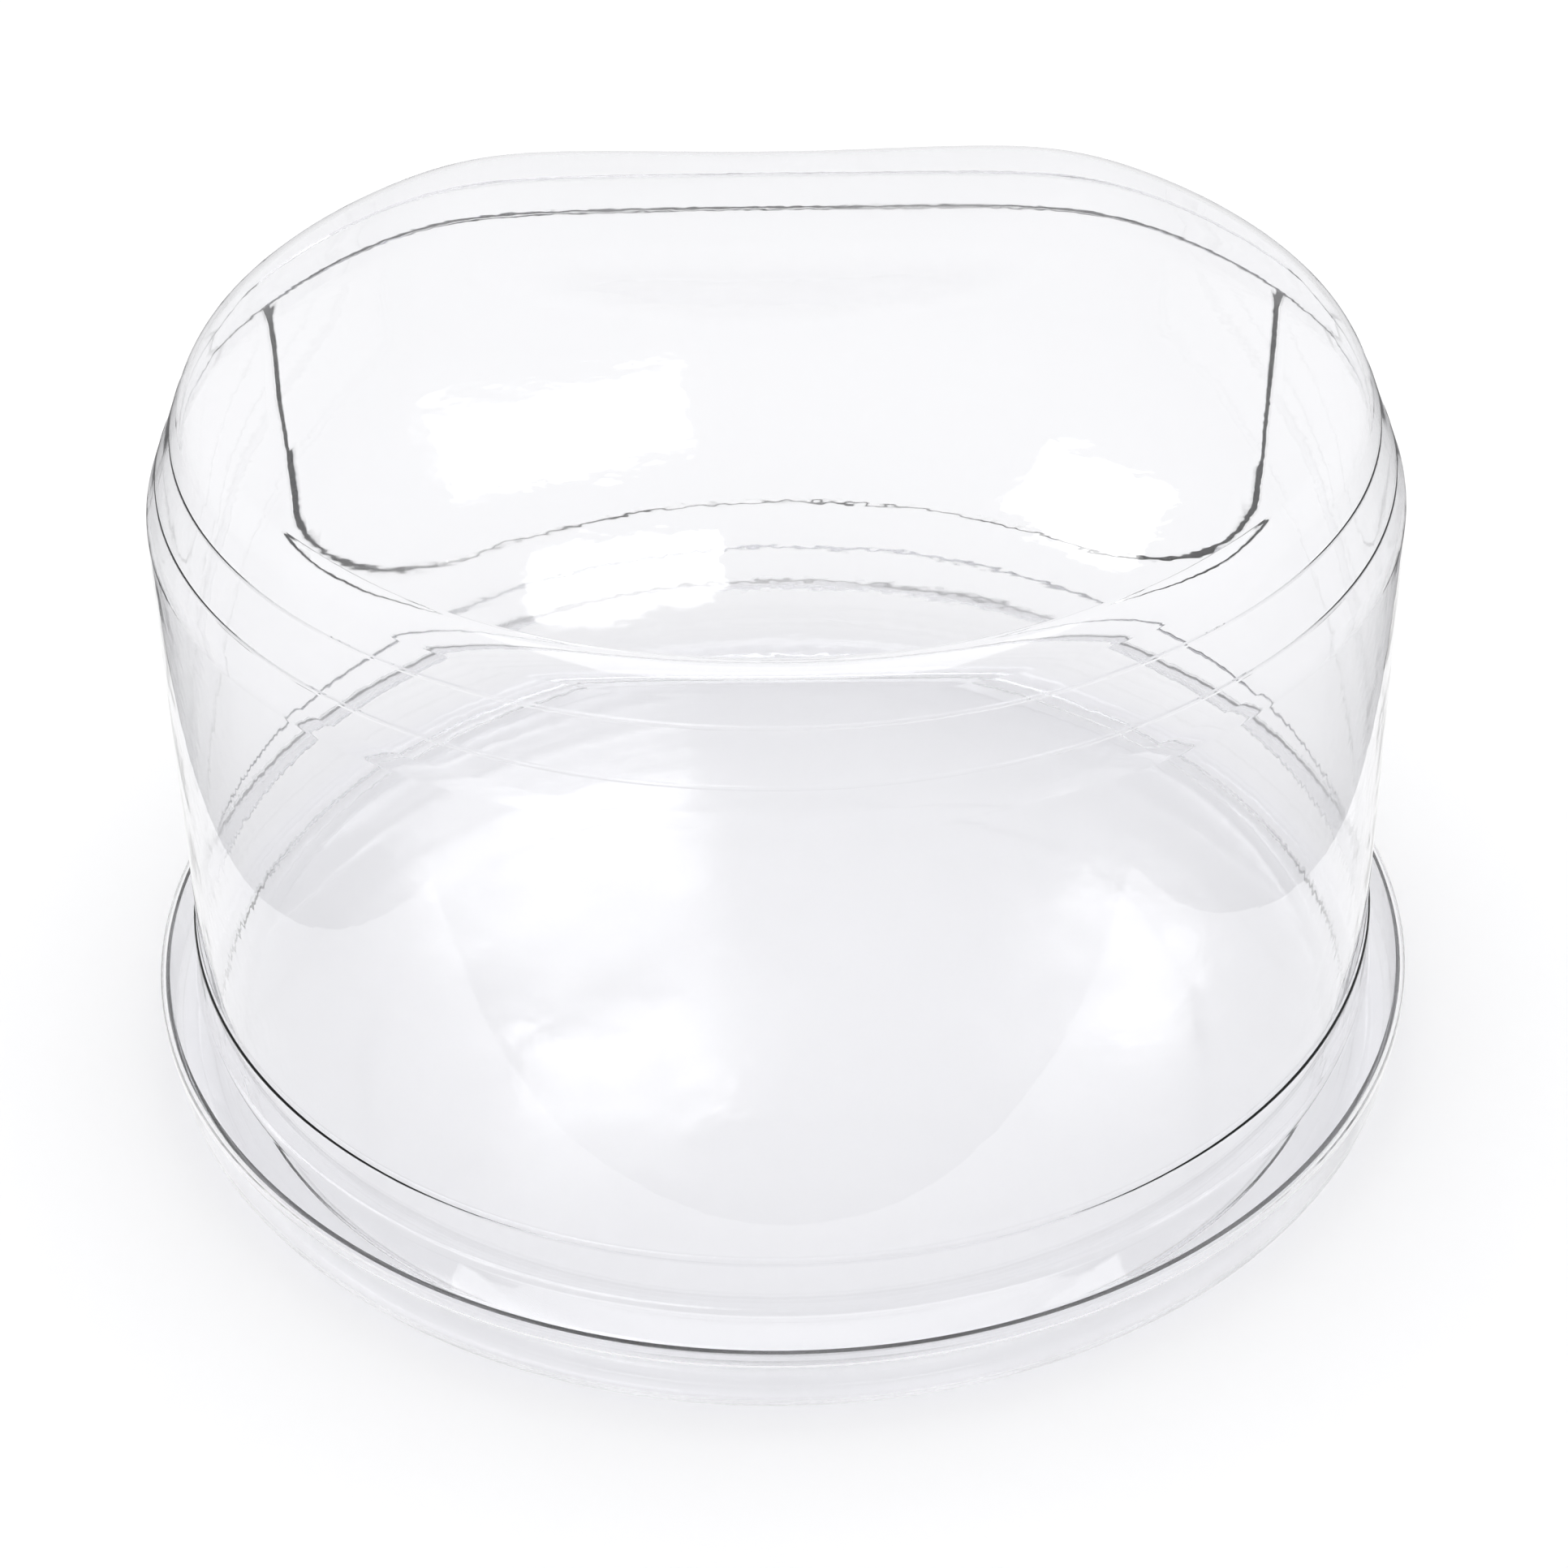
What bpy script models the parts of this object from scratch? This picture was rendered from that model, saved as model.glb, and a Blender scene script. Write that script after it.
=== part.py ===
"""Round humidity dome tray: a clear tray, a clear dome and a hinged access flap.

Metres, +Z up.  The origin is the centre of the tray's underside, on the surface
that the tray stands on.  +Y points to the side that has the access flap.
"""

import math

import bmesh
import bpy
from mathutils import Vector

MM = 0.001

# Driving dimensions
OUTER_RADIUS = 150.0 * MM        # outside of the dome's lip, the widest point
SHEET = 1.0 * MM                 # thickness of every formed sheet
CLEARANCE = 0.4 * MM             # gap left between pieces that touch
SEGMENTS = 72                    # facets round a full turn

# Tray
TRAY_HEIGHT = 0.128 * OUTER_RADIUS
TRAY_FOOT_FILLET = 6.0 * MM
TRAY_STEP_RADIUS = 0.905 * OUTER_RADIUS
TRAY_STEP_HEIGHT = 1.6 * MM
TRAY_STEP_RUN = 4.0 * MM

# Dome
LIP_DROP = 3.4 * MM
FLANGE_INNER_RADIUS = 0.934 * OUTER_RADIUS
FLANGE_RISE = 2.4 * MM
FLANGE_FILLET = 2.0 * MM
BEAD_HEIGHT = 0.24 * OUTER_RADIUS
BEAD_STEP = 0.8 * MM
WALL_BASE_RADIUS = 0.926 * OUTER_RADIUS
WALL_TOP_RADIUS = 0.912 * OUTER_RADIUS
WALL_TOP_HEIGHT = 0.975 * OUTER_RADIUS
WALL_TOP_FILLET = 8.0 * MM
WALL_RINGS = 5
ROOF_EDGE_RADIUS = 0.840 * OUTER_RADIUS
ROOF_EDGE_HEIGHT = 1.150 * OUTER_RADIUS
ROOF_EDGE_FILLET = 6.0 * MM
ROOF_CROWN = 3.0 * MM

# Two small steps are pressed round the sloping shoulder.
STEP_HEIGHTS = (1.018 * OUTER_RADIUS, 1.088 * OUTER_RADIUS)
STEP_DEPTH = 0.9 * MM
STEP_RISE = 0.8 * MM

# The rear of the shoulder is pressed flat, so that its steps are straight there.
FLAT_FROM_HEIGHT = 0.66 * OUTER_RADIUS
FLAT_FULL_HEIGHT = 0.98 * OUTER_RADIUS
FLAT_DEPTH = 0.18

# Access flap
FLAP_BOTTOM = 0.345 * OUTER_RADIUS
FLAP_HALF_WIDTH = 0.80 * OUTER_RADIUS
FLAP_CORNER_RUN = 0.27 * OUTER_RADIUS
FLAP_CORNER_RISE = 0.30 * OUTER_RADIUS
HINGE_HEIGHT = STEP_HEIGHTS[0] - 0.6 * MM


def clear_scene():
    """Remove every object that the new file holds."""
    for old in list(bpy.data.objects):
        bpy.data.objects.remove(old, do_unlink=True)


def clear_plastic(name, tint):
    """A clear, glossy plastic with a slight tint."""
    material = bpy.data.materials.new(name)
    material.use_nodes = True
    shader = material.node_tree.nodes["Principled BSDF"]
    shader.inputs["Base Color"].default_value = (*tint, 1.0)
    shader.inputs["Roughness"].default_value = 0.04
    shader.inputs["Metallic"].default_value = 0.0
    shader.inputs["IOR"].default_value = 1.5
    shader.inputs["Alpha"].default_value = 0.35
    return material


def rounded_path(corners):
    """Points of a path in (radius, height) whose corners are rounded.

    Each corner is (radius, height, fillet, steps); a fillet of 0 keeps it sharp.
    """
    points = []
    for index, (radius, height, fillet, steps) in enumerate(corners):
        here = Vector((radius, height))
        if fillet == 0:
            points.append(here)
            continue
        back = (Vector(corners[index - 1][:2]) - here).normalized()
        ahead = (Vector(corners[index + 1][:2]) - here).normalized()
        half_angle = back.angle(ahead) / 2
        centre = here + (back + ahead).normalized() * fillet / math.sin(half_angle)
        start = here + back * fillet / math.tan(half_angle) - centre
        end = here + ahead * fillet / math.tan(half_angle) - centre
        sweep = start.angle_signed(end)
        for step in range(steps + 1):
            turn = -sweep * step / steps
            points.append(centre + turned(start, turn))
    return points


def turned(vector, angle):
    """A 2-D vector turned anticlockwise by an angle."""
    cosine, sine = math.cos(angle), math.sin(angle)
    return Vector((vector.x * cosine - vector.y * sine, vector.x * sine + vector.y * cosine))


def offset_path(points, distance):
    """A path moved sideways by a distance, to the left of its direction."""
    moved = []
    for index, point in enumerate(points):
        before = points[max(index - 1, 0)]
        after = points[min(index + 1, len(points) - 1)]
        first = (point - before) if index > 0 else (after - point)
        second = (after - point) if index < len(points) - 1 else (point - before)
        normals = [Vector((-step.y, step.x)).normalized() for step in (first, second)]
        bisector = (normals[0] + normals[1]).normalized()
        moved.append(point + bisector * distance / bisector.dot(normals[0]))
    return moved


def sheet_outline(middle, thickness):
    """The closed outline of a sheet whose middle follows a path."""
    left = offset_path(middle, thickness / 2)
    right = offset_path(middle, -thickness / 2)
    for side in (left, right):
        for point in side:
            if abs(point.x) < SHEET / 2:
                point.x = 0.0
    return left + right[::-1]


def turned_solid(name, outline):
    """A solid of revolution about Z from a closed outline in (radius, height)."""
    mesh = bpy.data.meshes.new(name)
    work = bmesh.new()
    verts = [work.verts.new((point.x, 0.0, point.y)) for point in outline]
    edges = []
    for index, vert in enumerate(verts):
        after = verts[(index + 1) % len(verts)]
        if vert.co.x > 0 or after.co.x > 0:
            edges.append(work.edges.new((vert, after)))
    bmesh.ops.spin(work, geom=verts + edges, cent=(0, 0, 0), axis=(0, 0, 1),
                   angle=2 * math.pi, steps=SEGMENTS, use_merge=True)
    bmesh.ops.remove_doubles(work, verts=work.verts[:], dist=1e-6)
    bmesh.ops.recalc_face_normals(work, faces=work.faces[:])
    work.to_mesh(mesh)
    work.free()
    solid = bpy.data.objects.new(name, mesh)
    bpy.context.collection.objects.link(solid)
    return solid


def smooth_with_sharp_edges(solid):
    """Shade round walls smooth and keep the creases sharp."""
    solid.data.shade_smooth()
    solid.data.set_sharp_from_angle(angle=math.radians(35))


def ease(value, low, high):
    """0 below low, 1 above high, with a smooth change between them."""
    share = min(max((value - low) / (high - low), 0.0), 1.0)
    return share * share * (3 - 2 * share)


def flat_share(height):
    """How far the rear is pressed in at a height, as a share of the radius."""
    return FLAT_DEPTH * ease(height, FLAT_FROM_HEIGHT, FLAT_FULL_HEIGHT)


def press_rear_flat(solid):
    """Limit how far the rear of the shoulder stands out."""
    for vert in solid.data.vertices:
        radius = math.hypot(vert.co.x, vert.co.y)
        limit = radius * (1 - flat_share(vert.co.z))
        if vert.co.y > limit:
            vert.co.y = limit


def tray_middle():
    """The middle of the tray's sheet, from its centre out to its rim."""
    half = SHEET / 2
    wall = OUTER_RADIUS - SHEET - CLEARANCE - half
    step_end = TRAY_STEP_RADIUS + TRAY_STEP_RUN
    return rounded_path([
        (0.0, half, 0, 0),
        (TRAY_STEP_RADIUS - TRAY_STEP_RUN, half, 0, 0),
        (TRAY_STEP_RADIUS - TRAY_STEP_RUN / 2, half + TRAY_STEP_HEIGHT, 0, 0),
        (TRAY_STEP_RADIUS + TRAY_STEP_RUN / 2, half + TRAY_STEP_HEIGHT, 0, 0),
        (step_end, half, 0, 0),
        (wall, half, TRAY_FOOT_FILLET, 5),
        (wall, TRAY_HEIGHT, 0, 0),
    ])


def shoulder_radius(height):
    """Radius of the straight line from the top of the wall to the edge of the roof."""
    share = (height - WALL_TOP_HEIGHT) / (ROOF_EDGE_HEIGHT - WALL_TOP_HEIGHT)
    return WALL_TOP_RADIUS + (ROOF_EDGE_RADIUS - WALL_TOP_RADIUS) * share


def shoulder_steps():
    """Corners of the two steps, each set half outside and half inside the shoulder's line."""
    corners = []
    for height in STEP_HEIGHTS:
        radius = shoulder_radius(height)
        corners.append((radius + STEP_DEPTH / 2, height - STEP_RISE / 2, 0, 0))
        corners.append((radius - STEP_DEPTH / 2, height + STEP_RISE / 2, 0, 0))
    return corners


def wall_rings():
    """Points of the wall over the stretch where its rear turns from round to flat."""
    corners = []
    for part in range(WALL_RINGS):
        rise = WALL_TOP_HEIGHT - WALL_TOP_FILLET - FLAT_FROM_HEIGHT
        height = FLAT_FROM_HEIGHT + rise * part / WALL_RINGS
        share = (height - BEAD_HEIGHT) / (WALL_TOP_HEIGHT - BEAD_HEIGHT)
        radius = WALL_BASE_RADIUS + (WALL_TOP_RADIUS - WALL_BASE_RADIUS) * share
        corners.append((radius, height, 0, 0))
    return corners


def dome_middle():
    """The middle of the dome's sheet, from the bottom of its lip up to its centre."""
    half = SHEET / 2
    lip = OUTER_RADIUS - half
    flange = TRAY_HEIGHT + CLEARANCE + half
    return rounded_path([
        (lip, flange - LIP_DROP, 0, 0),
        (lip, flange, FLANGE_FILLET, 3),
        (FLANGE_INNER_RADIUS, flange + FLANGE_RISE, FLANGE_FILLET, 3),
        (WALL_BASE_RADIUS + BEAD_STEP, BEAD_HEIGHT, 0, 0),
        (WALL_BASE_RADIUS, BEAD_HEIGHT + BEAD_STEP, 0, 0),
        *wall_rings(),
        (WALL_TOP_RADIUS, WALL_TOP_HEIGHT, WALL_TOP_FILLET, 4),
        *shoulder_steps(),
        (ROOF_EDGE_RADIUS, ROOF_EDGE_HEIGHT, ROOF_EDGE_FILLET, 5),
        (ROOF_EDGE_RADIUS / 2, ROOF_EDGE_HEIGHT + ROOF_CROWN * 0.75, 0, 0),
        (0.0, ROOF_EDGE_HEIGHT + ROOF_CROWN, 0, 0),
    ])


def dome_shell(name):
    """The whole dome as one sheet, before the access opening is cut."""
    shell = turned_solid(name, sheet_outline(dome_middle(), SHEET))
    press_rear_flat(shell)
    return shell


def flap_outline(margin):
    """The access opening seen along Y, as points in (x, z), grown by a margin."""
    half_width = FLAP_HALF_WIDTH + margin
    bottom = FLAP_BOTTOM - margin
    top = HINGE_HEIGHT + margin
    corner_steps = 8
    corner = []
    for step in range(corner_steps + 1):
        angle = math.pi / 2 * step / corner_steps
        corner.append((half_width - FLAP_CORNER_RUN * (1 - math.cos(angle)),
                       bottom + FLAP_CORNER_RISE * (1 - math.sin(angle))))
    left = [(-x, z) for x, z in reversed(corner)]
    return [(half_width, top)] + corner + left + [(-half_width, top)]


def opening_cutter(name, margin):
    """A prism along Y that takes in the access opening, grown by a margin."""
    back = OUTER_RADIUS * 1.2
    work = bmesh.new()
    verts = [work.verts.new((x, 0.0, z)) for x, z in flap_outline(margin)]
    face = work.faces.new(verts)
    grown = bmesh.ops.extrude_face_region(work, geom=[face])
    moved = [item for item in grown["geom"] if isinstance(item, bmesh.types.BMVert)]
    bmesh.ops.translate(work, verts=moved, vec=(0, back, 0))
    bmesh.ops.recalc_face_normals(work, faces=work.faces[:])
    mesh = bpy.data.meshes.new(name)
    work.to_mesh(mesh)
    work.free()
    cutter = bpy.data.objects.new(name, mesh)
    bpy.context.collection.objects.link(cutter)
    hide_guide(cutter)
    return cutter


def hide_guide(guide):
    """Mark an object as a construction guide, not a piece."""
    guide.hide_render = True
    guide.display_type = "WIRE"


def hinge_offset():
    """How far behind the centre the fold lies, on the sheet's outer surface."""
    radius = shoulder_radius(HINGE_HEIGHT) + SHEET / 2
    return radius * (1 - flat_share(HINGE_HEIGHT))


def add_boolean(solid, operation, other):
    """Combine a solid with another object through a Boolean modifier."""
    step = solid.modifiers.new(other.name, "BOOLEAN")
    step.operation = operation
    step.solver = "EXACT"
    step.object = other


def make_tray():
    """The shallow tray that everything stands in."""
    tray = turned_solid("tray", sheet_outline(tray_middle(), SHEET))
    smooth_with_sharp_edges(tray)
    tray.data.materials.append(clear_plastic("clear_tray", (0.94, 0.95, 0.97)))
    return tray


def make_dome():
    """The dome with its flange, its lip and the access opening in its rear."""
    dome = dome_shell("dome")
    add_boolean(dome, "DIFFERENCE", opening_cutter("opening_guide", CLEARANCE / 2))
    smooth_with_sharp_edges(dome)
    dome.data.materials.append(clear_plastic("clear_dome", (0.93, 0.94, 0.97)))
    return dome


def make_flap():
    """The flap that fills the access opening and folds up about its top edge."""
    hinge = Vector((0.0, hinge_offset(), HINGE_HEIGHT))
    flap = dome_shell("access_flap")
    keeper = opening_cutter("flap_guide", -CLEARANCE / 2)
    for piece in (flap, keeper):
        move_origin(piece, hinge)
    add_boolean(flap, "INTERSECT", keeper)
    smooth_with_sharp_edges(flap)
    flap.data.materials.append(clear_plastic("clear_flap", (0.93, 0.94, 0.97)))
    return flap


def move_origin(piece, place):
    """Put an object's origin at a place without moving its surface."""
    for vert in piece.data.vertices:
        vert.co -= place
    piece.location = place


clear_scene()
make_tray()
make_dome()
make_flap()
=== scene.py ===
"""Looks of the clear humidity dome tray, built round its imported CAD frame.

Metres, +Z up.  The origin is the centre of the tray's underside, and +Y points
to the side that has the access flap.
"""

import math

import bmesh
import bpy
from mathutils import Matrix, Vector, noise


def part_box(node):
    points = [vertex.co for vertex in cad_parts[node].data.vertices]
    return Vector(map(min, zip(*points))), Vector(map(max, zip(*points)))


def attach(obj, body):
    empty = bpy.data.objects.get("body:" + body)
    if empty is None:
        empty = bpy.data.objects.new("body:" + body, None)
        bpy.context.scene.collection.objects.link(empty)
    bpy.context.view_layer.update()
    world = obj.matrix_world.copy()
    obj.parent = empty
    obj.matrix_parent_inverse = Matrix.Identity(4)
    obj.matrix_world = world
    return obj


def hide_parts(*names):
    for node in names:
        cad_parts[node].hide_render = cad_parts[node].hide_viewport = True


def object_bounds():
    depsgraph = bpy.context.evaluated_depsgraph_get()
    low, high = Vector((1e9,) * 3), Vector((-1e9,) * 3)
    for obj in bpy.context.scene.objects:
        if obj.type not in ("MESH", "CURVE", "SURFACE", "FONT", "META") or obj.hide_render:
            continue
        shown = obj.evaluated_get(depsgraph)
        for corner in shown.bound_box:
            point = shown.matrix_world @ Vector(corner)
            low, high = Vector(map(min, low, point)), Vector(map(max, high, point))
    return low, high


MM = 0.001

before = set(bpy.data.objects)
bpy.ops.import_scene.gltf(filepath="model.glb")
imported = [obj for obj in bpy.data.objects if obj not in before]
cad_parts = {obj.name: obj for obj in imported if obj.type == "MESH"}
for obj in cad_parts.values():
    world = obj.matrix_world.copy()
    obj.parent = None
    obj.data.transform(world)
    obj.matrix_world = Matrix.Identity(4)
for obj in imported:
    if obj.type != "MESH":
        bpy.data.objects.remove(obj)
cad_low, cad_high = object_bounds()
tray_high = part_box("tray")[1]

# Sizes that the sheets take from the frame
OUTER_RADIUS = cad_high.x
SHEET = 1.0 * MM                     # thickness of every formed sheet
GAP = 0.4 * MM                       # gap between pieces that touch
SEGMENTS = 240                       # facets round a full turn
LONGEST_STEP = 7.0 * MM              # longest stretch of a profile between points

TRAY_HEIGHT = tray_high.z
TRAY_FOOT_FILLET = 6.0 * MM
TRAY_STEP_RADIUS = 0.905 * OUTER_RADIUS
TRAY_STEP_HEIGHT = 1.6 * MM
TRAY_STEP_RUN = 4.0 * MM
STEP_FILLET = 1.6 * MM

LIP_DROP = 3.4 * MM
FLANGE_INNER_RADIUS = 0.934 * OUTER_RADIUS
FLANGE_RISE = 2.4 * MM
FLANGE_FILLET = 2.0 * MM
BEAD_HEIGHT = 0.24 * OUTER_RADIUS
BEAD_STEP = 0.8 * MM
WALL_BASE_RADIUS = 0.926 * OUTER_RADIUS
WALL_TOP_RADIUS = 0.912 * OUTER_RADIUS
WALL_TOP_HEIGHT = 0.975 * OUTER_RADIUS
WALL_TOP_FILLET = 10.0 * MM
ROOF_EDGE_RADIUS = 0.840 * OUTER_RADIUS
ROOF_EDGE_HEIGHT = 1.150 * OUTER_RADIUS
ROOF_EDGE_FILLET = 7.5 * MM
ROOF_CROWN = 3.0 * MM

# Two small steps pressed round the sloping shoulder
STEP_HEIGHTS = (1.018 * OUTER_RADIUS, 1.088 * OUTER_RADIUS)
STEP_DEPTH = 0.9 * MM
STEP_RISE = 0.8 * MM
FRONT_STEP_DEPTH = 0.10 * MM         # the steps all but fade out round the front
FADE_SINE = 0.15                     # how far either side of the middle they fade
STEP_ROUND = 0.6 * MM

# The rear of the shoulder, pressed flat and sagging a little in its middle
FLAT_FROM_HEIGHT = 0.66 * OUTER_RADIUS
FLAT_FULL_HEIGHT = 0.98 * OUTER_RADIUS
FLAT_DEPTH = 0.18
FLAT_SAG = 0.028
FLAT_SAG_WIDTH = 0.28 * OUTER_RADIUS
FLAT_BLEND = 7.0 * MM
FLAT_EASE_AT_ROOF = 0.020            # how much less the roof edge is pressed in

FLAP_BOTTOM = 0.345 * OUTER_RADIUS
FLAP_HALF_WIDTH = 0.80 * OUTER_RADIUS
FLAP_CORNER_RUN = 0.27 * OUTER_RADIUS
FLAP_CORNER_RISE = 0.30 * OUTER_RADIUS
HINGE_HEIGHT = STEP_HEIGHTS[0] - 0.6 * MM
CUT_WOBBLE = 0.7 * MM
CUT_WOBBLES_PER_METRE = 90.0

# Slow unevenness that heat and vacuum leave in a formed sheet
WAVE_DEPTH = 0.30 * MM
WAVES_PER_METRE = 14.0
RIPPLE_DEPTH = 0.05 * MM
RIPPLES_PER_METRE = 45.0
WAVE_FROM_HEIGHT = 26.0 * MM
WAVE_FULL_HEIGHT = 60.0 * MM


def ease(value, low, high):
    """0 below low, 1 above high, with a smooth change between them."""
    share = min(max((value - low) / (high - low), 0.0), 1.0)
    return share * share * (3 - 2 * share)


def rounded_path(corners):
    """Points of a path in (radius, height) whose corners (radius, height, fillet, steps) are rounded."""
    points = []
    for index, (radius, height, fillet, steps) in enumerate(corners):
        here = Vector((radius, height))
        if fillet == 0:
            points.append(here)
            continue
        back = (Vector(corners[index - 1][:2]) - here).normalized()
        ahead = (Vector(corners[index + 1][:2]) - here).normalized()
        half_angle = back.angle(ahead) / 2
        centre = here + (back + ahead).normalized() * fillet / math.sin(half_angle)
        start = here + back * fillet / math.tan(half_angle) - centre
        end = here + ahead * fillet / math.tan(half_angle) - centre
        sweep = start.angle_signed(end)
        for step in range(steps + 1):
            points.append(centre + turned(start, -sweep * step / steps))
    return points


def turned(vector, angle):
    """A 2-D vector turned anticlockwise by an angle."""
    cosine, sine = math.cos(angle), math.sin(angle)
    return Vector((vector.x * cosine - vector.y * sine, vector.x * sine + vector.y * cosine))


def densified(points, guide=None):
    """The same path with extra points where it, or a guide like it, has long straight runs."""
    guide = guide or points
    dense = [points[0]]
    for index, (start, end) in enumerate(zip(points[:-1], points[1:])):
        parts = max(1, math.ceil((guide[index + 1] - guide[index]).length / LONGEST_STEP))
        dense += [start.lerp(end, part / parts) for part in range(1, parts + 1)]
    return dense


def offset_path(points, distance):
    """A path moved sideways by a distance, to the left of its direction."""
    moved = []
    for index, point in enumerate(points):
        before = points[max(index - 1, 0)]
        after = points[min(index + 1, len(points) - 1)]
        first = (point - before) if index > 0 else (after - point)
        second = (after - point) if index < len(points) - 1 else (point - before)
        normals = [Vector((-step.y, step.x)).normalized() for step in (first, second)]
        bisector = (normals[0] + normals[1]).normalized()
        moved.append(point + bisector * distance / bisector.dot(normals[0]))
    return moved


def sheet_outline(middle):
    """The closed outline of a sheet whose middle follows a path."""
    left = offset_path(middle, SHEET / 2)
    right = offset_path(middle, -SHEET / 2)
    for side in (left, right):
        for point in side:
            if abs(point.x) < SHEET / 2:
                point.x = 0.0
    return left + right[::-1]


def turned_solid(name, outline, front_outline=None):
    """A solid about Z from a closed outline in (radius, height), with another outline for its front."""
    mesh = bpy.data.meshes.new(name)
    work = bmesh.new()
    rings = []
    for segment in range(SEGMENTS):
        angle = 2 * math.pi * segment / SEGMENTS
        front = ease(-math.sin(angle), -FADE_SINE, FADE_SINE)
        ring = [back.lerp(near, front) for back, near in zip(outline, front_outline or outline)]
        rings.append([work.verts.new((point.x * math.cos(angle), point.x * math.sin(angle), point.y))
                      for point in ring])
    for first, second in zip(rings, rings[1:] + rings[:1]):
        for index, vert in enumerate(first):
            after = (index + 1) % len(first)
            if outline[index].x > 0 or outline[after].x > 0:
                work.faces.new((vert, first[after], second[after], second[index]))
    bmesh.ops.remove_doubles(work, verts=work.verts[:], dist=1e-6)
    bmesh.ops.recalc_face_normals(work, faces=work.faces[:])
    work.to_mesh(mesh)
    work.free()
    return linked(name, mesh)


def linked(name, mesh):
    """A new object with a mesh, in the scene."""
    made = bpy.data.objects.new(name, mesh)
    bpy.context.scene.collection.objects.link(made)
    return made


def waved(point, share):
    """A point moved by the sheet's slow unevenness."""
    slow = noise.noise_vector(point * WAVES_PER_METRE) * WAVE_DEPTH
    quick = noise.noise_vector(point * RIPPLES_PER_METRE) * RIPPLE_DEPTH
    return point + (slow + quick) * share


def flat_share(height):
    """How far the rear is pressed in at a height, as a share of the radius."""
    return FLAT_DEPTH * ease(height, FLAT_FROM_HEIGHT, FLAT_FULL_HEIGHT)


def press_rear_flat(solid):
    """Limit how far the rear of the shoulder stands out, with a soft turn at each end of the flat."""
    for vert in solid.data.vertices:
        radius = math.hypot(vert.co.x, vert.co.y)
        share = flat_share(vert.co.z)
        if share == 0 or vert.co.y <= radius / 2:
            continue
        sag = FLAT_SAG * math.exp(-(vert.co.x / FLAT_SAG_WIDTH) ** 2)
        share += (sag - FLAT_EASE_AT_ROOF) * ease(vert.co.z, STEP_HEIGHTS[1], ROOF_EDGE_HEIGHT)
        blend = FLAT_BLEND * share / FLAT_DEPTH * radius / WALL_TOP_RADIUS
        over = (vert.co.y - radius * (1 - share)) / blend
        vert.co.y -= blend * (math.log1p(math.exp(over)) if over < 20 else over)


def tray_middle():
    """The middle of the tray's sheet, from its centre out to its rim."""
    half = SHEET / 2
    wall = OUTER_RADIUS - SHEET - GAP - half
    run = TRAY_STEP_RUN
    return densified(rounded_path([
        (0.0, half, 0, 0),
        (TRAY_STEP_RADIUS - run, half, STEP_FILLET / 2, 4),
        (TRAY_STEP_RADIUS - run / 2, half + TRAY_STEP_HEIGHT, STEP_FILLET / 2, 4),
        (TRAY_STEP_RADIUS + run / 2, half + TRAY_STEP_HEIGHT, STEP_FILLET / 2, 4),
        (TRAY_STEP_RADIUS + run, half, STEP_FILLET / 2, 4),
        (wall, half, TRAY_FOOT_FILLET, 14),
        (wall, TRAY_HEIGHT, 0, 0),
    ]))


def shoulder_radius(height):
    """Radius of the straight line from the top of the wall to the edge of the roof."""
    share = (height - WALL_TOP_HEIGHT) / (ROOF_EDGE_HEIGHT - WALL_TOP_HEIGHT)
    return WALL_TOP_RADIUS + (ROOF_EDGE_RADIUS - WALL_TOP_RADIUS) * share


def shoulder_steps(depth):
    """Corners of the two steps, each set half outside and half inside the shoulder's line."""
    corners = []
    for height in STEP_HEIGHTS:
        radius = shoulder_radius(height)
        corners.append((radius + depth / 2, height - STEP_RISE / 2, STEP_ROUND, 3))
        corners.append((radius - depth / 2, height + STEP_RISE / 2, STEP_ROUND, 3))
    return corners


def dome_middle(step_depth):
    """The middle of the dome's sheet, from the bottom of its lip up to its centre."""
    half = SHEET / 2
    lip = OUTER_RADIUS - half
    flange = TRAY_HEIGHT + GAP + half
    path = rounded_path([
        (lip, flange - LIP_DROP, 0, 0),
        (lip, flange, FLANGE_FILLET, 8),
        (FLANGE_INNER_RADIUS, flange + FLANGE_RISE, FLANGE_FILLET, 8),
        (WALL_BASE_RADIUS + BEAD_STEP, BEAD_HEIGHT, STEP_ROUND, 4),
        (WALL_BASE_RADIUS, BEAD_HEIGHT + BEAD_STEP, STEP_ROUND, 4),
        (WALL_TOP_RADIUS, WALL_TOP_HEIGHT, WALL_TOP_FILLET, 10),
        *shoulder_steps(step_depth),
        (ROOF_EDGE_RADIUS, ROOF_EDGE_HEIGHT, ROOF_EDGE_FILLET, 16),
        (ROOF_EDGE_RADIUS / 2, ROOF_EDGE_HEIGHT + ROOF_CROWN * 0.75, 0, 0),
    ])[:-1]
    edge = path[-1]
    summit = ROOF_EDGE_HEIGHT + ROOF_CROWN
    rings = math.ceil(edge.x / LONGEST_STEP)
    roof = []
    for ring in range(1, rings + 1):
        share = 1 - ring / rings
        roof.append(Vector((edge.x * share, summit - (summit - edge.y) * share ** 2)))
    return path + roof


def dome_shell(name):
    """The whole dome as one uneven sheet, before the access opening is cut."""
    stepped = dome_middle(STEP_DEPTH)
    smooth = dome_middle(FRONT_STEP_DEPTH)
    shell = turned_solid(name, sheet_outline(densified(stepped)),
                         sheet_outline(densified(smooth, stepped)))
    press_rear_flat(shell)
    for vert in shell.data.vertices:
        share = ease(vert.co.z, WAVE_FROM_HEIGHT, WAVE_FULL_HEIGHT)
        if share > 0:
            vert.co = waved(vert.co, share)
    return shell


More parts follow.
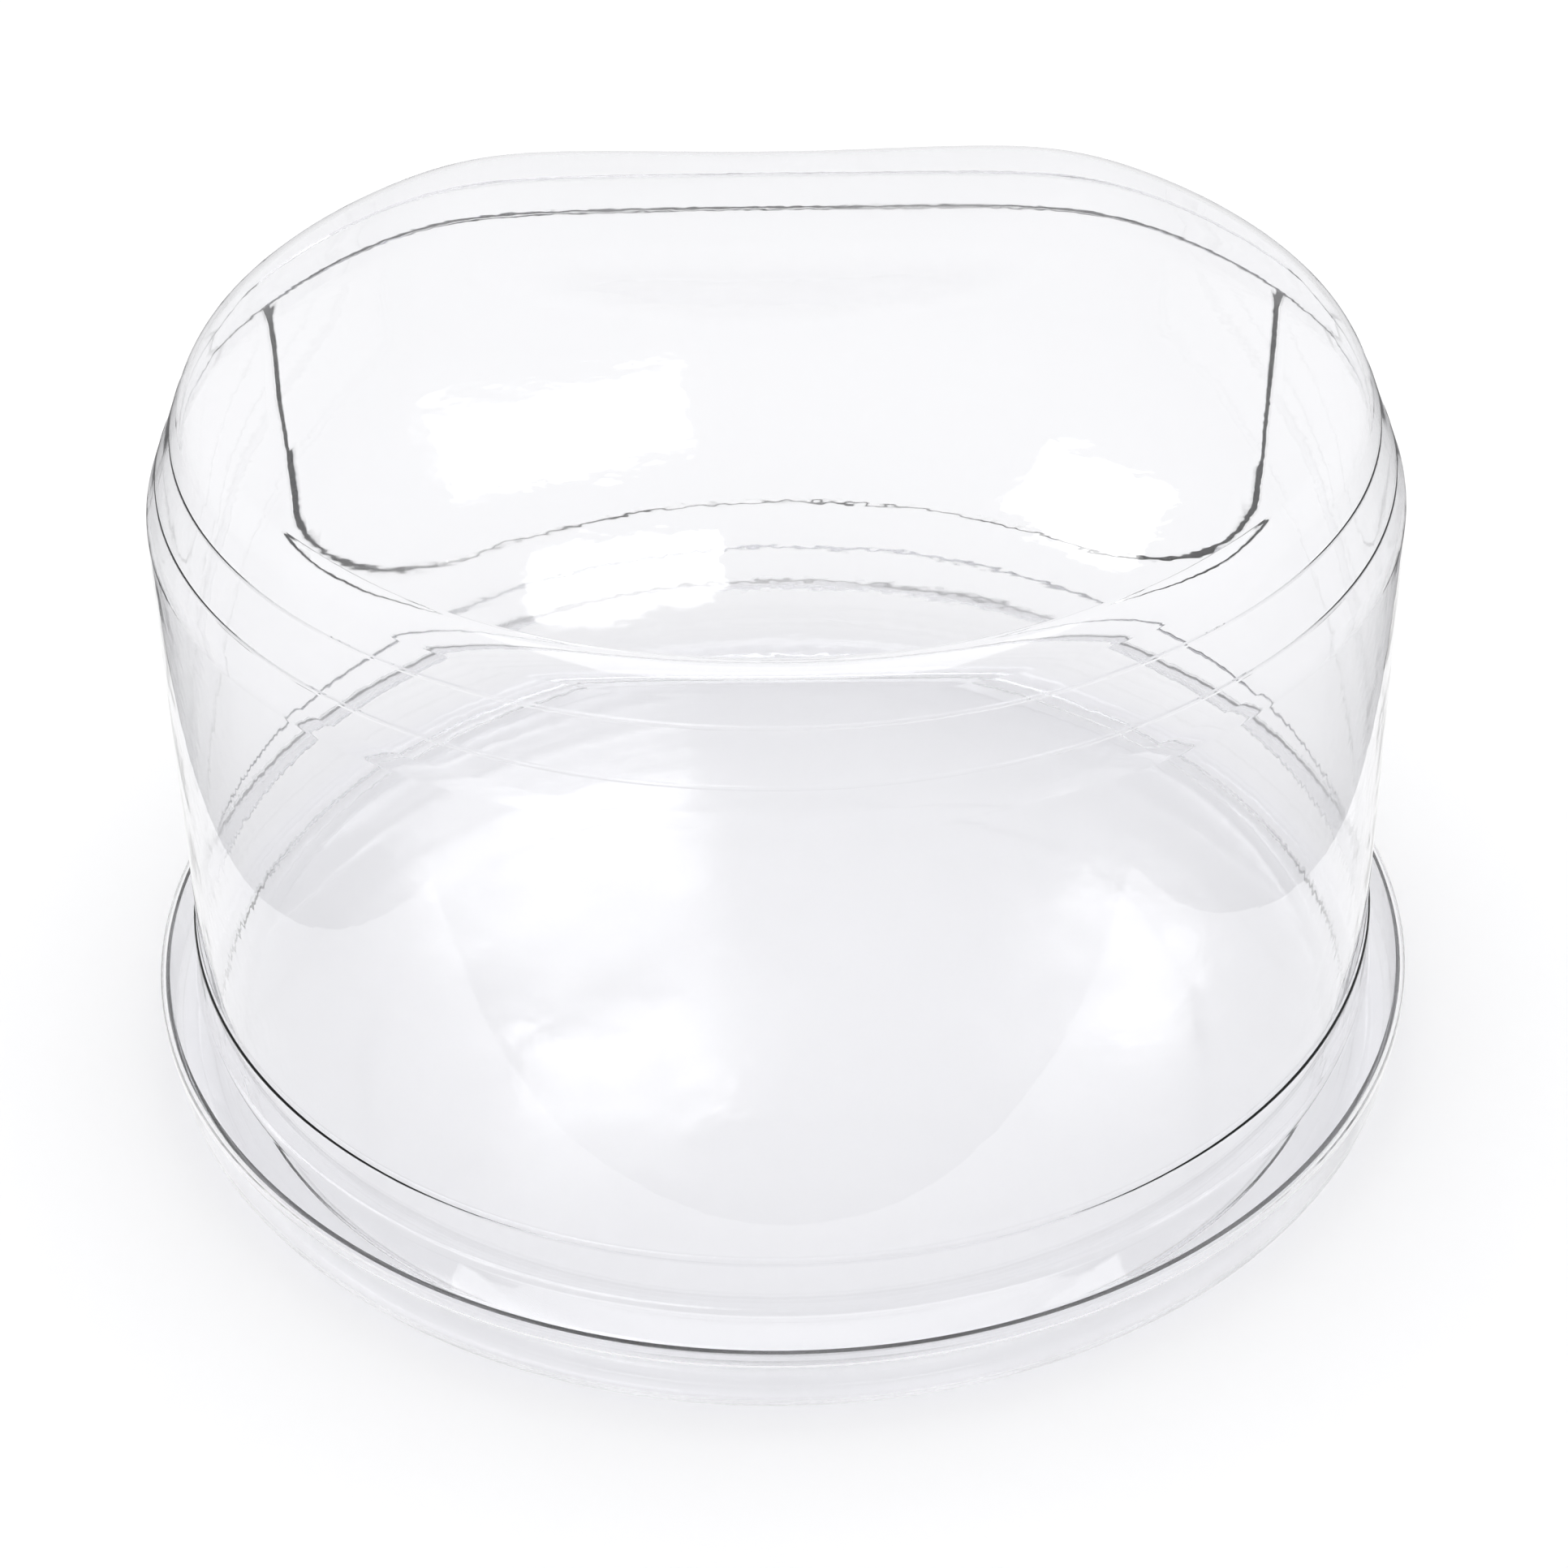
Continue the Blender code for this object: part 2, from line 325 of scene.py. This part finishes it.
def flap_outline(margin):
    """The access opening seen along Y, as points in (x, z), with a hand-cut wobble."""
    corner = []
    for step in range(17):
        angle = math.pi / 2 * step / 16
        corner.append(Vector((FLAP_HALF_WIDTH - FLAP_CORNER_RUN * (1 - math.cos(angle)),
                              FLAP_BOTTOM + FLAP_CORNER_RISE * (1 - math.sin(angle)))))
    left = [Vector((-point.x, point.y)) for point in reversed(corner)]
    top_right = Vector((FLAP_HALF_WIDTH, HINGE_HEIGHT))
    top_left = Vector((-FLAP_HALF_WIDTH, HINGE_HEIGHT))
    wobbly = []
    for point in densified([top_right] + corner + left + [top_left]):
        shift = noise.noise_vector(Vector((point.x, point.y, 0.0)) * CUT_WOBBLES_PER_METRE)
        free = 1 - ease(point.y, HINGE_HEIGHT - 10 * MM, HINGE_HEIGHT)
        wobbly.append(point + Vector((shift.x, shift.y)) * CUT_WOBBLE * free)
    grown = offset_path(wobbly, margin)
    grown[0].y += margin
    grown[-1].y += margin
    return grown


def opening_cutter(name, margin):
    """A prism along Y that takes in the access opening, grown by a margin."""
    work = bmesh.new()
    verts = [work.verts.new((point.x, 0.0, point.y)) for point in flap_outline(margin)]
    face = work.faces.new(verts)
    grown = bmesh.ops.extrude_face_region(work, geom=[face])
    moved = [item for item in grown["geom"] if isinstance(item, bmesh.types.BMVert)]
    bmesh.ops.translate(work, verts=moved, vec=(0, OUTER_RADIUS * 1.2, 0))
    bmesh.ops.recalc_face_normals(work, faces=work.faces[:])
    mesh = bpy.data.meshes.new(name)
    work.to_mesh(mesh)
    work.free()
    return linked(name, mesh)


def combine(solid, operation, other):
    """Apply an exact Boolean with another solid, and remove that solid."""
    step = solid.modifiers.new(other.name, "BOOLEAN")
    step.operation = operation
    step.solver = "EXACT"
    step.object = other
    graph = bpy.context.evaluated_depsgraph_get()
    mesh = bpy.data.meshes.new_from_object(solid.evaluated_get(graph))
    solid.modifiers.clear()
    solid.data = mesh
    bpy.data.objects.remove(other, do_unlink=True)


def finish_sheet(sheet, material, body, node):
    """Shade a sheet, give it its plastic, and let it stand for its CAD node."""
    sheet.data.shade_smooth()
    sheet.data.set_sharp_from_angle(angle=math.radians(40))
    sheet.data.materials.clear()
    sheet.data.materials.append(material)
    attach(sheet, body)
    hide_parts(node)


def clear_plastic(name, tint, density, roughness):
    """Clear formed plastic: glossy, faintly uneven, and darker where light travels along the sheet."""
    material = bpy.data.materials.new(name)
    material.use_nodes = True
    nodes, links = material.node_tree.nodes, material.node_tree.links
    nodes.clear()
    output = nodes.new("ShaderNodeOutputMaterial")
    shader = nodes.new("ShaderNodeBsdfPrincipled")
    shader.inputs["Base Color"].default_value = (0.995, 0.995, 1.0, 1.0)
    shader.inputs["Transmission Weight"].default_value = 1.0
    shader.inputs["IOR"].default_value = 1.5
    place = nodes.new("ShaderNodeTexCoord")
    haze = nodes.new("ShaderNodeTexNoise")
    haze.inputs["Scale"].default_value = 22.0
    haze.inputs["Detail"].default_value = 4.0
    links.new(place.outputs["Object"], haze.inputs["Vector"])
    spread = nodes.new("ShaderNodeMapRange")
    spread.inputs["From Min"].default_value = 0.35
    spread.inputs["From Max"].default_value = 0.75
    spread.inputs["To Min"].default_value = roughness * 0.5
    spread.inputs["To Max"].default_value = roughness * 1.8
    links.new(haze.outputs["Fac"], spread.inputs["Value"])
    links.new(spread.outputs["Result"], shader.inputs["Roughness"])
    grain = nodes.new("ShaderNodeTexNoise")
    grain.inputs["Scale"].default_value = 60.0
    grain.inputs["Detail"].default_value = 3.0
    links.new(place.outputs["Object"], grain.inputs["Vector"])
    bump = nodes.new("ShaderNodeBump")
    bump.inputs["Strength"].default_value = 0.12
    bump.inputs["Distance"].default_value = 0.0004
    links.new(grain.outputs["Fac"], bump.inputs["Height"])
    links.new(bump.outputs["Normal"], shader.inputs["Normal"])
    lamp_path = nodes.new("ShaderNodeLightPath")
    open_way = nodes.new("ShaderNodeBsdfTransparent")
    slant = nodes.new("ShaderNodeLayerWeight")
    slant.inputs["Blend"].default_value = 0.5
    shade = nodes.new("ShaderNodeMix")
    shade.data_type = "RGBA"
    shade.inputs["A"].default_value = (0.99, 0.99, 0.995, 1.0)
    shade.inputs["B"].default_value = (0.90, 0.90, 0.915, 1.0)
    links.new(slant.outputs["Facing"], shade.inputs["Factor"])
    links.new(shade.outputs["Result"], open_way.inputs["Color"])
    choose = nodes.new("ShaderNodeMixShader")
    links.new(lamp_path.outputs["Is Shadow Ray"], choose.inputs["Fac"])
    links.new(shader.outputs["BSDF"], choose.inputs[1])
    links.new(open_way.outputs["BSDF"], choose.inputs[2])
    links.new(choose.outputs["Shader"], output.inputs["Surface"])
    soak = nodes.new("ShaderNodeVolumeAbsorption")
    soak.inputs["Color"].default_value = (*tint, 1.0)
    soak.inputs["Density"].default_value = density
    links.new(soak.outputs["Volume"], output.inputs["Volume"])
    return material


def make_tray():
    """The shallow tray that everything stands in."""
    tray = turned_solid("tray_sheet", sheet_outline(tray_middle()))
    finish_sheet(tray, clear_plastic("tray_plastic", (0.80, 0.81, 0.88), 16.0, 0.10),
                 "base", "tray")


def make_dome():
    """The dome with its flange, its lip and the access opening in its rear."""
    dome = dome_shell("dome_sheet")
    combine(dome, "DIFFERENCE", opening_cutter("opening", GAP / 2))
    finish_sheet(dome, clear_plastic("dome_plastic", (0.78, 0.79, 0.88), 16.0, 0.02),
                 "hood", "dome")


def make_flap():
    """The flap that fills the access opening."""
    flap = dome_shell("flap_sheet")
    combine(flap, "INTERSECT", opening_cutter("keeper", -GAP / 2))
    finish_sheet(flap, clear_plastic("flap_plastic", (0.78, 0.79, 0.88), 16.0, 0.02),
                 "flap", "access_flap")


# ---------------------------------------------------------------- the studio

CAMERA_TARGET = Vector((0.0009, 0.0, 0.0567))
CAMERA_DISTANCE = 0.75
CAMERA_PITCH = math.radians(35.876)
CAMERA_ROLL = math.radians(-0.83)
CAMERA_LENS = 72.63
CAMERA_SENSOR = 36.0

ROOM_LIGHT = 0.25                    # what gloss mirrors beyond the table, beside white
FLOOR_SIZE = 12.0
TABLE_FRONT = -0.64 * 2 * OUTER_RADIUS
TABLE_BACK = 1.8
TABLE_HALF_WIDTH_FRONT = 0.76 * 2 * OUTER_RADIUS
TABLE_HALF_WIDTH_BACK = 0.58 * 2 * OUTER_RADIUS


def add_camera():
    """A camera in front of the object, looking down at it."""
    data = bpy.data.cameras.new("camera")
    data.lens = CAMERA_LENS
    data.sensor_width = CAMERA_SENSOR
    camera = bpy.data.objects.new("camera", data)
    bpy.context.scene.collection.objects.link(camera)
    forward = Vector((0.0, math.cos(CAMERA_PITCH), -math.sin(CAMERA_PITCH)))
    aim = Matrix.Rotation(math.pi / 2 - CAMERA_PITCH, 4, "X")
    roll = Matrix.Rotation(CAMERA_ROLL, 4, "Z")
    camera.matrix_world = Matrix.Translation(CAMERA_TARGET - forward * CAMERA_DISTANCE) @ aim @ roll
    bpy.context.scene.camera = camera


def flat_patch(name, corners, height):
    """A flat four-cornered patch facing up."""
    mesh = bpy.data.meshes.new(name)
    mesh.from_pydata([(x, y, height) for x, y in corners], [], [(0, 1, 2, 3)])
    return linked(name, mesh)


def plain_material(name, kind, colour, strength=None):
    """A one-shader material for the studio."""
    material = bpy.data.materials.new(name)
    material.use_nodes = True
    nodes = material.node_tree.nodes
    nodes.clear()
    shader = nodes.new(kind)
    shader.inputs["Color"].default_value = (*colour, 1.0)
    if strength is not None:
        shader.inputs["Strength"].default_value = strength
    output = nodes.new("ShaderNodeOutputMaterial")
    material.node_tree.links.new(shader.outputs[0], output.inputs["Surface"])
    return material


def add_floor():
    """An endless white floor, and the white table top that gloss mirrors."""
    reach = FLOOR_SIZE / 2
    floor = flat_patch("floor", [(-reach, -reach), (reach, -reach), (reach, reach), (-reach, reach)],
                       -0.3 * MM)
    floor.data.materials.append(plain_material("floor_white", "ShaderNodeBsdfDiffuse", (0.86, 0.86, 0.865)))
    floor.visible_glossy = False
    table = flat_patch("table", [(-TABLE_HALF_WIDTH_FRONT, TABLE_FRONT),
                                 (TABLE_HALF_WIDTH_FRONT, TABLE_FRONT),
                                 (TABLE_HALF_WIDTH_BACK, TABLE_BACK),
                                 (-TABLE_HALF_WIDTH_BACK, TABLE_BACK)], -0.6 * MM)
    table.data.materials.append(plain_material("table_white", "ShaderNodeEmission", (1.0, 1.0, 1.0), 1.0))
    for way in ("camera", "diffuse", "transmission", "volume_scatter", "shadow"):
        setattr(table, "visible_" + way, False)


def add_world():
    """White surroundings, dimmer where gloss mirrors the room."""
    world = bpy.data.worlds.new("studio")
    world.use_nodes = True
    nodes, links = world.node_tree.nodes, world.node_tree.links
    nodes.clear()
    path = nodes.new("ShaderNodeLightPath")
    mirrored = nodes.new("ShaderNodeMath")
    mirrored.operation = "SUBTRACT"
    mirrored.use_clamp = True
    links.new(path.outputs["Is Glossy Ray"], mirrored.inputs[0])
    links.new(path.outputs["Is Transmission Ray"], mirrored.inputs[1])
    shade = nodes.new("ShaderNodeMix")
    shade.data_type = "RGBA"
    shade.inputs["A"].default_value = (1.0, 1.0, 1.0, 1.0)
    shade.inputs["B"].default_value = (ROOM_LIGHT, ROOM_LIGHT, ROOM_LIGHT * 1.02, 1.0)
    links.new(mirrored.outputs[0], shade.inputs["Factor"])
    sky = nodes.new("ShaderNodeBackground")
    links.new(shade.outputs["Result"], sky.inputs["Color"])
    sky.inputs["Strength"].default_value = 1.0
    output = nodes.new("ShaderNodeOutputWorld")
    links.new(sky.outputs["Background"], output.inputs["Surface"])
    bpy.context.scene.world = world


def softbox(name, place, aim, size, tilt, power):
    """A rectangular softbox that faces a point."""
    data = bpy.data.lights.new(name, "AREA")
    data.shape = "RECTANGLE"
    data.size, data.size_y = size
    data.energy = power
    lamp = bpy.data.objects.new(name, data)
    bpy.context.scene.collection.objects.link(lamp)
    facing = (Vector(aim) - Vector(place)).to_track_quat("-Z", "Y").to_matrix().to_4x4()
    lamp.matrix_world = Matrix.Translation(place) @ facing @ Matrix.Rotation(tilt, 4, "Z")
    lamp.visible_camera = False
    return lamp


def add_lights():
    """Three small softboxes mirrored in the roof and a broad one overhead."""
    roof = (0.0, 0.0, ROOF_EDGE_HEIGHT)
    softbox("left_low", (-0.195, 1.50, 1.10), roof, (0.245, 0.115), math.radians(7), 0.22)
    softbox("left_high", (-0.150, 1.50, 1.33), roof, (0.20, 0.10), math.radians(3), 0.15)
    softbox("right", (0.296, 1.50, 1.23), roof, (0.135, 0.115), math.radians(-20), 0.12)
    softbox("overhead", (0.0, -0.1, 2.2), (0, 0, 0), (1.8, 1.8), 0.0, 16.0)


make_tray()
make_dome()
make_flap()
add_floor()
add_world()
add_lights()
add_camera()

scene = bpy.context.scene
scene.view_settings.view_transform = "Standard"
scene.cycles.max_bounces = 32
scene.cycles.transmission_bounces = 32
scene.cycles.glossy_bounces = 8
scene.cycles.transparent_max_bounces = 32
